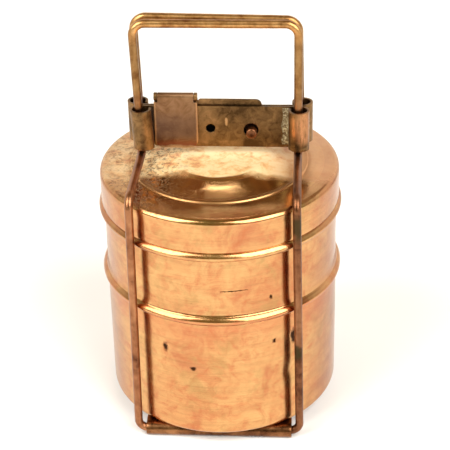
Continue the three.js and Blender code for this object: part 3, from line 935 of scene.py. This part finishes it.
def make_base():
    """One strip of sheet, both ends rolled into hinge knuckles."""
    middle = KNUCKLE_RADIUS - SHEET / 2
    far = arc(KNUCKLE_Y, KNUCKLE_RADIUS, middle, 90, -190, 40)
    near = [(-y, z) for y, z in reversed(far)]
    flat = line((-KNUCKLE_Y + 1 * MM, base_high.z - SHEET / 2),
                (KNUCKLE_Y - 1 * MM, base_high.z - SHEET / 2), 60)
    path = [*near, *flat, *far]

    def move(point):
        wear = 0.15 * MM * fine_noise(point, 7 * MM, 3.0)
        edge = max(0, (abs(point.x) - base_high.x + 3 * MM) / (3 * MM))
        point.x -= math.copysign((0.25 * MM + abs(wear)) * edge, point.x)
        point.z = max(point.z, 0.02 * MM)
        return point

    obj = thick_ribbon("base_plate_sheet", path, from_side, 40,
                       base_low.x, base_high.x, move)
    return bevel(obj, 0.18 * MM)


# Clasp

def wavy_sheet(amount, seed, lean=0.0):
    """A move that gives sheet a slight wave, and leans the left sleeve outward with height."""
    middle = (plate_low.z + plate_high.z) / 2

    def move(point):
        near_sleeve = clamp((-30 * MM - point.x) / (6 * MM))
        shift = -lean * (point.z - middle) * near_sleeve
        return point + Vector((shift, amount * fine_noise(point, 16 * MM, seed), 0))
    return move


def clasp_path(sleeves, side_y):
    """A clasp plate from above: curl, straight sheet, curl. The curls bulge to side_y."""
    middle = SLEEVE_RADIUS - SHEET / 2
    left_x, right_x = sleeves
    curl = arc(0, -SLEEVE_Y, middle, 90, -205, 44)
    right = [(right_x + SLEEVE_STRETCH * x, y) for x, y in curl]
    left = [(-left_x - SLEEVE_STRETCH * x, y) for x, y in reversed(curl)]
    straight = line((-left_x + 0.5 * MM, -GAP - SHEET / 2),
                    (right_x - 0.5 * MM, -GAP - SHEET / 2), 150)
    return [(x, y * -side_y) for x, y in [*left, *straight, *right]]


def plate_foot(sleeves):
    """The lower edge of a clasp plate, a little higher under its sleeves."""
    def low(x, y):
        centre = sleeves[0] if x < 0 else sleeves[1]
        near_sleeve = clamp((abs(x) - centre + 6 * MM) / (1.2 * MM))
        ragged = 0.5 * MM * near_sleeve * fine_noise((x, y, 0), 4 * MM, 30.0)
        return plate_low.z + (SLEEVE_LOW - plate_low.z) * near_sleeve + abs(ragged)
    return low


def make_front_plate():
    """The front clasp plate, with the stud's hole and an empty one."""
    obj = thick_ribbon("front_clasp_plate_sheet", clasp_path(FRONT_SLEEVES, -1),
                       from_above, 22, plate_foot(FRONT_SLEEVES), plate_high.z,
                       wavy_sheet(0.12 * MM, 8.0, LEFT_SLEEVE_LEAN))
    cut(obj, rod_cutter(STUD_X - 0.45 * MM, STUD_Z + 0.45 * MM, 4.15 * MM))
    cut(obj, rod_cutter(EMPTY_HOLE_X, EMPTY_HOLE_Z, 2.7 * MM))
    return bevel(obj, 0.2 * MM)


def make_leaf(left):
    """A narrow strip of the rear plate, curled round the hasp's pin."""
    rear_face = HINGE_Y + HINGE_MIDDLE
    path = [
        *line((rear_face, plate_high.z - 1 * MM), (rear_face, HINGE_Z), 6),
        *arc(HINGE_Y, HINGE_Z, HINGE_MIDDLE, 0, 270, 36),
    ]
    leaf = thick_ribbon("leaf", path, from_side, 4, left, left + LEAF_WIDTH)
    return bevel(leaf, 0.15 * MM)


def make_rear_plate():
    """The rear clasp plate, with a raised tab and the hasp's fixed knuckles."""
    tab_left, tab_right = flap_high.x + 0.6 * MM, 24.6 * MM
    tab_high = STACK_Z + 183.4 * MM
    under_flap = HINGE_Z - 2.9 * MM
    corner = 3.5 * MM

    def high(x, y):
        if abs(y) > 3 * MM or x < flap_low.x or x > tab_right:
            return plate_high.z
        if x < tab_left:
            return under_flap
        drop = corner - (tab_right - x)
        if drop <= 0:
            return tab_high
        return tab_high - corner + math.sqrt(max(0, corner ** 2 - drop ** 2))

    sheet = thick_ribbon("rear_sheet", clasp_path(REAR_SLEEVES, 1),
                         from_above, 24, plate_foot(REAR_SLEEVES), high,
                         wavy_sheet(0.1 * MM, 9.0))
    cut(sheet, rod_cutter(STUD_X, STUD_Z, 3.5 * MM))
    bevel(sheet, 0.2 * MM)
    leaves = [make_leaf(flap_low.x), make_leaf(flap_high.x - LEAF_WIDTH)]
    return join([sheet, *leaves], "rear_clasp_plate_sheet")


def make_flap():
    """The hasp: rolled over its pin at the top, straight down, with a lip at the foot."""
    front = HINGE_Y - HINGE_MIDDLE
    low, corner = flap_low.z, 5 * MM
    left, right = flap_low.x, flap_high.x
    path = [
        *arc(HINGE_Y, HINGE_Z, HINGE_MIDDLE, -90, 180, 36),
        *line((front, HINGE_Z - 0.4 * MM), (front, low + 3.2 * MM), 34),
        *bezier((front, low + 3.2 * MM), (front, low + 1.5 * MM),
                (front - 0.45 * MM, low + 0.02 * MM), 14),
    ]

    def narrow(z):
        drop = corner - (z - low)
        if drop <= 0:
            return 0
        return corner - math.sqrt(max(0, corner ** 2 - drop ** 2))

    def move(point):
        bulge = 0.12 * MM * fine_noise(point, 11 * MM, 12.0)
        return point + Vector((0, bulge, 0)) if point.z < HINGE_Z - 4 * MM else point

    obj = thick_ribbon("hasp_flap_sheet", path, from_side, 26,
                       lambda y, z: left + narrow(z), lambda y, z: right - narrow(z), move)
    notch = LEAF_WIDTH + GAP
    for start, end in ((left - 1 * MM, left + notch), (right - notch, right + 1 * MM)):
        cut(obj, block_cutter((start, -9 * MM, HINGE_Z - 2.6 * MM),
                              (end, 9 * MM, HINGE_Z + 10 * MM)))
    return bevel(obj, 0.3 * MM, 3)


def make_stud():
    """The stud: a peg with a worn round end, and a flat head behind the rear plate."""
    radius = 3.2 * MM
    reach = -stud_low.y
    head = 1.8 * MM
    profile = [
        (0, -reach),
        *line((0.4 * MM, -reach), (radius * 0.62, -reach + 0.12 * MM), 4),
        *arc(radius - 0.9 * MM, -reach + 1.1 * MM, 0.9 * MM, -70, 0, 8),
        *line((radius, -reach + 1.4 * MM), (radius, head), 14),
        *line((radius + 0.3 * MM, head), (4.4 * MM, head), 3),
        *arc(4.2 * MM, head + 0.5 * MM, 0.5 * MM, -80, 60, 6),
        *line((3.8 * MM, head + 1.2 * MM), (0, head + 1.5 * MM), 6),
        (0, head + 1.5 * MM),
    ]
    turn = Matrix.Rotation(-math.pi / 2, 3, "X")
    at = (STUD_X, 0, STUD_Z)

    def move(point):
        worn = 0.09 * MM * fine_noise(point, 2.6 * MM, 15.0)
        away = Vector((point.x - STUD_X, 0, point.z - STUD_Z))
        return point + away.normalized() * (worn - 0.09 * MM) if away.length > 1e-6 else point

    return turned("locking_stud_rivet", profile, 40, turn, at, move)


def make_pin():
    """The hasp's pin, through the flap's roll and both fixed knuckles."""
    half = (flap_high.x - flap_low.x) / 2 + 0.1 * MM
    radius = 1 * MM
    profile = [
        (0, -half),
        *arc(radius - 0.4 * MM, -half + 0.4 * MM, 0.4 * MM, -90, 0, 5),
        *line((radius, -half + 1 * MM), (radius, half - 0.4 * MM), 10),
        *arc(radius - 0.4 * MM, half - 0.4 * MM, 0.4 * MM, 0, 90, 5),
        (0, half),
    ]
    turn = Matrix.Rotation(math.pi / 2, 3, "Y")
    at = ((flap_low.x + flap_high.x) / 2, HINGE_Y, HINGE_Z)
    return turned("hasp_pin_rod", profile, 24, turn, at)


def make_solder(node):
    """A lumpy fillet that fills the corner between a sleeve and its plate."""
    low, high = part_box(node)
    right_side = (low.x + high.x) > 0
    front = (low.y + high.y) < 0
    root, tip = (high.x, low.x) if right_side else (low.x, high.x)
    face, peak = (high.y, low.y) if front else (low.y, high.y)
    rows, columns = 60, 12
    seed = 20 + 3 * right_side + 5 * front
    bm = bmesh.new()
    grid = []
    for j in range(rows + 1):
        z = low.z + (high.z - low.z) * j / rows
        taper = min(1, 6 * min(j, rows - j) / rows + 0.25)
        reach = 0.75 + 0.25 * fine_noise((0, 0, z), 5 * MM, seed)
        row = []
        for i in range(columns + 1):
            t = i / columns
            x = root + (tip - root) * reach * t
            rise = (1 - t) ** 2.2 * taper
            lump = 0.12 * fine_noise((x, 0, z), 1.6 * MM, seed + 1) * (1 - t)
            row.append(bm.verts.new((x, face + (peak - face) * max(0.02, rise * 0.8 + lump), z)))
        row.append(bm.verts.new((tip + (root - tip) * (1 - reach), face, z)))
        row.append(bm.verts.new((root, face, z)))
        grid.append(row)
    width = len(grid[0])
    for j in range(rows):
        for i in range(width):
            n = (i + 1) % width
            bm.faces.new((grid[j][i], grid[j][n], grid[j + 1][n], grid[j + 1][i]))
    bm.faces.new(grid[0][::-1])
    bm.faces.new(grid[-1])
    return make_object(node + "_fillet", bm, 70)


# Pieces and finishes

def show(piece, node, body, material):
    """The piece stands for a CAD node, moves with its body and wears a finish."""
    piece.data.materials.clear()
    piece.data.materials.append(material)
    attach(piece, body)
    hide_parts(node)


def build():
    """Makes every piece, and its finish."""
    lower_marks = [
        (on_stack(-28.6, -61.1, 57.3), 4.0 * MM, (1.4, 0.6, 0.8)),
        (on_stack(-13, -66.2, 46), 3.2 * MM, (1.0, 0.6, 1.2)),
        (on_stack(33, -58.9, 61.7), 2.0 * MM, (1, 0.6, 0.7)),
        (on_stack(43.6, -51.5, 60), 4.2 * MM, (1.5, 0.6, 0.45)),
    ]
    upper_marks = [
        (on_stack(31.4, -59.5, 91.5), 1.8 * MM, (1, 0.6, 0.7)),
        (on_stack(11.5, -66.2, 99.2), 2.6 * MM, (0.17, 0.3, 4)),
    ]
    tier = spun_brass("brass_lower", lower_marks, lower_high.z)
    upper_tier = spun_brass("brass_upper", upper_marks, lower_high.z + 4 * MM)
    lid_finish = lid_brass("brass_lid")
    wire_finish = wire_brass("brass_wire")
    plate_finish = front_plate_brass("brass_front_plate")
    rear_plate_finish = rear_plate_brass("brass_rear_plate")
    flap_finish = flap_brass("brass_flap")
    base_finish = base_brass("brass_base")
    # The left fillets are painted dark, as shadow in the gap beside their sleeves.
    solder_finishes = {
        "left": soft_solder("shadowed_solder", 0.0),
        "right": soft_solder("grey_solder", 1.0),
    }

    show(make_lower_container(), "lower_container", "lower_tier", tier)
    show(make_upper_container(), "upper_container", "upper_tier", upper_tier)
    show(make_lid(), "lid", "cover", lid_finish)
    show(make_base(), "base_plate", "base", base_finish)
    front = make_bail("front_bail_wire", -1, INWARD_NECK, STRAIGHT_NECK, FRONT_BAR, FRONT_BAR)
    rear = make_bail("rear_bail_wire", 1, STRAIGHT_NECK, OUTWARD_NECK,
                     REAR_BAR_LEFT, REAR_BAR_RIGHT)
    show(front, "front_bail", "front_frame", wire_finish)
    show(rear, "rear_bail", "rear_frame", wire_finish)
    show(make_front_plate(), "front_clasp_plate", "front_frame", plate_finish)
    show(make_rear_plate(), "rear_clasp_plate", "rear_frame", rear_plate_finish)
    show(make_stud(), "locking_stud", "rear_frame", wire_finish)
    show(make_flap(), "hasp_flap", "hasp", flap_finish)
    show(make_pin(), "hasp_pin", "rear_frame", wire_finish)
    for end, body in (("front", "front_frame"), ("rear", "rear_frame")):
        for side in ("left", "right"):
            node = f"solder_{end}_{side}"
            show(make_solder(node), node, body, solder_finishes[side])


# Studio

def make_floor():
    """A pale floor, far wider than the view."""
    bm = bmesh.new()
    bmesh.ops.create_grid(bm, x_segments=1, y_segments=1, size=6)
    floor = make_object("floor", bm)
    f = Finish("pale_floor", metallic=0.0)
    f.finish((0.96, 0.96, 0.96), 0.9, None)
    floor.data.materials.append(f.material)


def area_light(name, azimuth, elevation, distance, size, power):
    """A soft box aimed at the middle of the stack."""
    out = toward(azimuth, elevation)
    data = bpy.data.lights.new(name, "AREA")
    data.shape = "RECTANGLE"
    data.size, data.size_y = size
    data.energy = power
    light = bpy.data.objects.new(name, data)
    bpy.context.scene.collection.objects.link(light)
    light.location = Vector((0, 0, 100 * MM)) + out * distance
    light.rotation_euler = out.to_track_quat("Z", "Y").to_euler()


def make_world():
    """A white room with a dark ceiling and a dim side where the photographer stands."""
    world = bpy.data.worlds.new("studio")
    bpy.context.scene.world = world
    tree = Nodes(world)
    _, y, z = tree.split(tree.nodes.new("ShaderNodeTexCoord").outputs["Generated"])
    wall = (1.3, 1.27, 1.2)
    ceiling = (0.46, 0.34, 0.24)
    back = tree.ramp(z, [(0.0, wall), (0.57, wall), (0.62, ceiling)])
    front = tree.ramp(z, [(0.0, (0.36, 0.32, 0.17)), (0.5, (0.22, 0.20, 0.08))])
    remap = tree.nodes.new("ShaderNodeMapRange")
    tree.feed(remap.inputs["Value"], y)
    remap.inputs["From Min"].default_value = -0.15
    remap.inputs["From Max"].default_value = 0.45
    background = tree.nodes["Background"]
    tree.feed(background.inputs["Color"], tree.mix(remap.outputs["Result"], front, back))
    background.inputs["Strength"].default_value = 1.0


def make_lights():
    """Two soft boxes in front, and a faint narrow lamp behind."""
    area_light("left_box", azimuth=-54, elevation=40, distance=2.4, size=(1.5, 2.0), power=58)
    area_light("right_box", azimuth=45, elevation=40, distance=2.4, size=(1.7, 2.0), power=68)
    area_light("back_lamp", azimuth=184, elevation=50, distance=2.0, size=(0.22, 0.05), power=0.35)


def make_camera():
    """The viewpoint: a long lens looking down on the stack, turned a little off square."""
    distance = 0.8787
    aim_right = 2.3 * MM
    roll = math.radians(-1.44)
    back = toward(4.3, 30.8)
    right = Vector((0, 0, 1)).cross(back).normalized()
    up = back.cross(right)
    rolled_right = right * math.cos(roll) + up * math.sin(roll)
    rolled_up = up * math.cos(roll) - right * math.sin(roll)
    data = bpy.data.cameras.new("camera")
    data.sensor_width = 36
    data.lens = 120
    camera = bpy.data.objects.new("camera", data)
    bpy.context.scene.collection.objects.link(camera)
    at = Vector(on_stack(0, 0, 101.9)) + right * aim_right + back * distance
    turn = Matrix((rolled_right, rolled_up, back)).transposed().to_4x4()
    camera.matrix_world = Matrix.Translation(at) @ turn
    bpy.context.scene.camera = camera


build()
make_floor()
make_world()
make_lights()
make_camera()
bpy.context.scene.view_settings.view_transform = "Standard"
